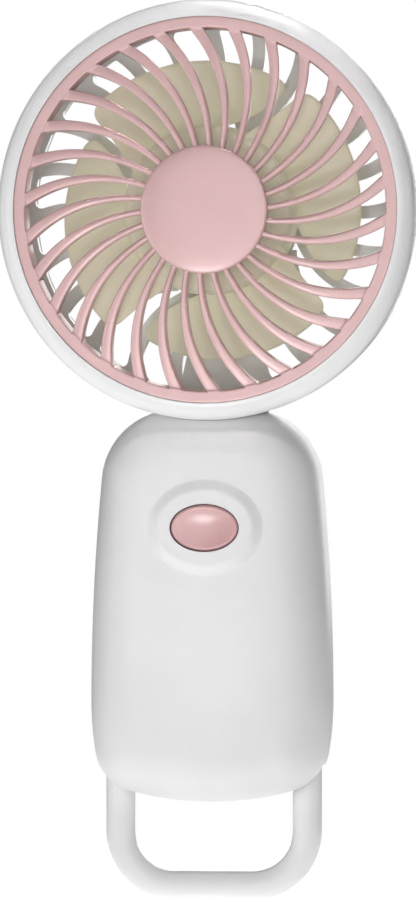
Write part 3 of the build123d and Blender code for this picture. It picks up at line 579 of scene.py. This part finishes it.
def resample(chain, count):
    """The chain as evenly spaced points."""
    lengths = [0]
    for p, q in zip(chain, chain[1:]):
        lengths.append(lengths[-1] + dist(p, q))
    out, k = [], 0
    for i in range(count):
        want = lengths[-1] * i / (count - 1)
        while k < len(chain) - 2 and lengths[k + 1] < want:
            k += 1
        span = lengths[k + 1] - lengths[k]
        t = 0 if span == 0 else (want - lengths[k]) / span
        out.append(tuple(a + (b - a) * t for a, b in zip(chain[k], chain[k + 1])))
    return out


def blade(turn):
    """One twisted blade with a rounded edge, turned about the axis by an angle in degrees."""
    first, last = REAR_EDGE[0][1], FRONT_EDGE[-1][1]
    edge = resample(blade_outer_edge(), BLADE_COLUMNS)
    root = arc((0, 0), ROOT_R, first, last, BLADE_COLUMNS - 1)
    rows = len(BLADE_RIMS) + BLADE_ROWS
    spin = radians(turn)
    verts, faces = [], []
    for side in (-1, 1):
        start = len(verts)
        for (ex, ez), (rx, rz) in zip(edge, root):
            run = max(hypot(ex - rx, ez - rz), 1e-6)
            inward = [BLADE_HALF_T + (run - BLADE_HALF_T) * (j + 1) / BLADE_ROWS for j in range(BLADE_ROWS)]
            for d in (*BLADE_RIMS, *inward):
                d = min(d, run)
                x, z = ex + (rx - ex) * d / run, ez + (rz - ez) * d / run
                near = 1 - min(d, BLADE_HALF_T) / BLADE_HALF_T
                thick = BLADE_HALF_T * sqrt(max(0, 1 - near ** 2))
                y = BLADE_MID_Y - BLADE_TWIST * degrees(atan2(z, x)) + side * thick
                verts.append((x * cos(spin) - z * sin(spin), y, HEAD_Z + x * sin(spin) + z * cos(spin)))
        for i in range(BLADE_COLUMNS - 1):
            for j in range(rows - 1):
                a = start + i * rows + j
                faces.append((a, a + 1, a + rows + 1, a + rows))
    return verts, faces


def build_impeller():
    """Cup-shaped hub with a boss inside for the shaft, and the blades round it."""
    front_y, rear_y, inside_y, boss_y, bore_y = -8.3, 4.6, -6.7, -4.9, -7.4
    outer_r, inner_r, boss_r, bore_r = 18.2, 16.7, 3.2, 1.0
    outline = rounded([
        (0, front_y, 0), (outer_r, front_y, 1.9), (outer_r, rear_y, 0.25), (inner_r, rear_y, 0.25),
        (inner_r, inside_y, 0.8), (boss_r, inside_y, 0.3), (boss_r, boss_y, 0.2), (bore_r, boss_y, 0.2),
        (bore_r, bore_y, 0), (0, bore_y, 0),
    ], 8)
    blades = [blade(FIRST_BLADE + 360 / BLADES * number) for number in range(BLADES)]
    stand_in("impeller_hub", "impeller", lathe(outline), sharp=45)
    stand_in("impeller_blades", "impeller", merged(*blades), sharp=60)


# ---------------------------------------------------------------- button
def build_button():
    """Oval key with a shallow dish, a rounded edge, a flange behind the shell and a stub for the switch."""
    half_w, half_h, middle_z, face_y = 7.2, 4.87, 16.8, -13.6
    edge, dish, dish_steps, steps = 0.6, 0.5, 24, 128
    rows = []  # half width, half height and depth of each oval, from the middle of the face to the stub
    for i in range(1, dish_steps + 1):
        share = i / dish_steps
        rows.append(((half_w - edge) * share, (half_h - edge) * share, face_y + dish * (1 - share ** 2)))
    for angle in range(10, 91, 10):
        back, out = polar(edge, angle)
        rows.append((half_w - edge + out, half_h - edge + out, face_y + edge - back))
    for out, y in ((0, -11.2), (0, -10.66), (1.15, -10.55), (1.15, -9.75), (1.0, -9.7)):
        rows.append((half_w + out, half_h + out, y))
    rows += [(r, r, y) for r, y in ((1.75, -9.7), (1.6, -9.55), (1.6, -8.3))]
    verts = [(0, face_y + dish, middle_z)]
    for a, b, y in rows:
        turns = [2 * pi * i / steps for i in range(steps)]
        verts += [(a * cos(turn), y, middle_z + b * sin(turn)) for turn in turns]
    faces = []
    for i in range(steps):
        j = (i + 1) % steps
        faces.append((0, 1 + i, 1 + j))
        for row in range(len(rows) - 1):
            start = 1 + row * steps
            faces.append((start + i, start + steps + i, start + steps + j, start + j))
    faces.append(tuple(range(len(verts) - steps, len(verts))))
    stand_in("power_key", "button", (verts, faces))


# ---------------------------------------------------------------- stand loop
def tube(path, radius):
    """A round bar along a path in a plane of constant depth, closed at both ends."""
    steps = 40
    verts, faces = [], []
    for i, point in enumerate(path):
        before, after = Vector(path[max(0, i - 1)]), Vector(path[min(len(path) - 1, i + 1)])
        along = (after - before).normalized()
        side, ahead = Vector((along.z, 0, -along.x)), Vector((0, 1, 0))
        for k in range(steps):
            across, deep = polar(radius, 360 * k / steps)
            verts.append(tuple(Vector(point) + side * across + ahead * deep))
    for i in range(len(path) - 1):
        for k in range(steps):
            n = (k + 1) % steps
            faces.append((i * steps + k, i * steps + n, (i + 1) * steps + n, (i + 1) * steps + k))
    faces.append(tuple(range(steps)))
    faces.append(tuple(range(len(verts) - steps, len(verts))))
    return verts, faces


def eye(middle_x):
    """The eye at the end of a leg: a rounded ring round the pin."""
    bore_r, outer_r, half = 1.05, 3.3, 3.05
    outline = rounded([
        (bore_r, -half, 0.15), (outer_r, -half, 0.35), (outer_r, half, 0.35), (bore_r, half, 0.15),
    ])
    return wound(outline, 72, lambda x, y, z: (middle_x + x, LOOP_Y + y, LOOP_Z + z))


def build_loop():
    """U-shaped bail of round bar with an eye at the top of each leg."""
    leg_x, bar_r, corner, leg_steps, corner_steps = 20.2, 3.1, 11.75, 10, 32
    leg_top, foot_z = LOOP_Z - 2.6, -60.2
    bend_z = foot_z + corner
    leg = [bend_z + (leg_top - bend_z) * i / leg_steps for i in range(1, leg_steps + 1)]
    path = [(-leg_x, z) for z in reversed(leg)]
    path += arc((-leg_x + corner, bend_z), corner, 180, 270, corner_steps)
    path += arc((leg_x - corner, bend_z), corner, 270, 360, corner_steps)
    path += [(leg_x, z) for z in leg]
    bar = tube([(x, LOOP_Y, z) for x, z in path], bar_r)
    stand_in("stand_bail", "stand_loop", merged(bar, eye(-leg_x), eye(leg_x)))


build_front_ring()
build_cap()
build_front_grille()
build_impeller()
build_button()
build_loop()


# ---------------------------------------------------------------- floor, light and camera
def make_floor():
    """A pale, softly lit disc just under the loop."""
    radius, z, sides, glow = 300, -63.8, 96, 0.62
    verts = [(*polar(radius, 360 * i / sides), z) for i in range(sides)]
    material = moulded("floor_white", (0.90, 0.90, 0.90), 0.6)
    bsdf = material.node_tree.nodes["Principled BSDF"]
    bsdf.inputs["Emission Color"].default_value = (1, 1, 1, 1)
    bsdf.inputs["Emission Strength"].default_value = glow
    make_object("floor", verts, [tuple(range(sides))], material)


def make_world():
    """A white studio wall that the camera sees and that gives little light."""
    world = bpy.data.worlds.new("studio")
    bpy.context.scene.world = world
    world.use_nodes = True
    back = world.node_tree.nodes["Background"]
    back.inputs["Color"].default_value = (1, 1, 1, 1)
    back.inputs["Strength"].default_value = 1.0
    world.cycles_visibility.diffuse = False
    world.cycles_visibility.glossy = False


def make_camera():
    """Almost straight ahead, a little from the right, from far away."""
    azimuth, elevation, distance, view_height = radians(7.6), radians(0.5), 2500, 193.7
    aim_right, aim_up, sensor = -0.965, 33.0, 36
    back = Vector((sin(azimuth) * cos(elevation), -cos(azimuth) * cos(elevation), sin(elevation)))
    right = Vector((cos(azimuth), sin(azimuth), 0))
    target = right * aim_right + Vector((0, 0, aim_up))
    data = bpy.data.cameras.new("camera")
    data.sensor_width = sensor
    data.lens = sensor * distance / view_height
    data.clip_start, data.clip_end = 0.1, 100
    camera = bpy.data.objects.new("camera", data)
    camera.location = (target + back * distance) * MM
    camera.rotation_mode = "QUATERNION"
    camera.rotation_quaternion = (-back).to_track_quat("-Z", "Y")
    bpy.context.scene.collection.objects.link(camera)
    bpy.context.scene.camera = camera


def panel(name, direction, size, power, distance=700, aim=(0, 0, 20), spread=180):
    """A round soft box that looks at the fan from a direction and isn't seen itself."""
    data = bpy.data.lights.new(name, "AREA")
    data.shape = "DISK"
    data.size = size * MM
    data.energy = power
    data.spread = radians(spread)
    light = bpy.data.objects.new(name, data)
    away = Vector(direction).normalized()
    light.location = Vector(aim) * MM + away * distance * MM
    light.rotation_mode = "QUATERNION"
    light.rotation_quaternion = (-away).to_track_quat("-Z", "Y")
    light.visible_camera = False
    bpy.context.scene.collection.objects.link(light)


# name, direction from the fan, width in mm and power in W of each soft box, then for a narrow one its
# distance and aim in mm and its spread in degrees
SOFT_BOXES = (
    ("front_left", (-0.9, -1.0, 0.0), 420, 1.05),
    ("front", (0.1, -1.0, 0.1), 500, 1.2),
    ("low_left", (-1.0, -0.6, -0.7), 420, 1.45),
    ("low_glint", (-0.13, -1.0, -0.25), 130, 0.8),
    ("left", (-1.0, 0.0, 0.0), 420, 0.4),
    ("right", (1.0, -0.1, 0.1), 420, 0.3),
    ("high_right", (0.6, -0.7, 0.75), 300, 0.35),
    ("high_left", (-0.5, -0.75, 0.8), 300, 0.1),
    ("top", (0.0, 0.12, 1.0), 250, 1.6),
    ("head_top", (0.25, -0.3, 1.0), 80, 0.011, 500, (10, 0, 122), 12),
    ("behind", (0.2, 1.0, 0.3), 500, 1.6),
)

make_floor()
make_world()
make_camera()
for soft_box in SOFT_BOXES:
    panel(*soft_box)
bpy.context.scene.view_settings.view_transform = "Standard"
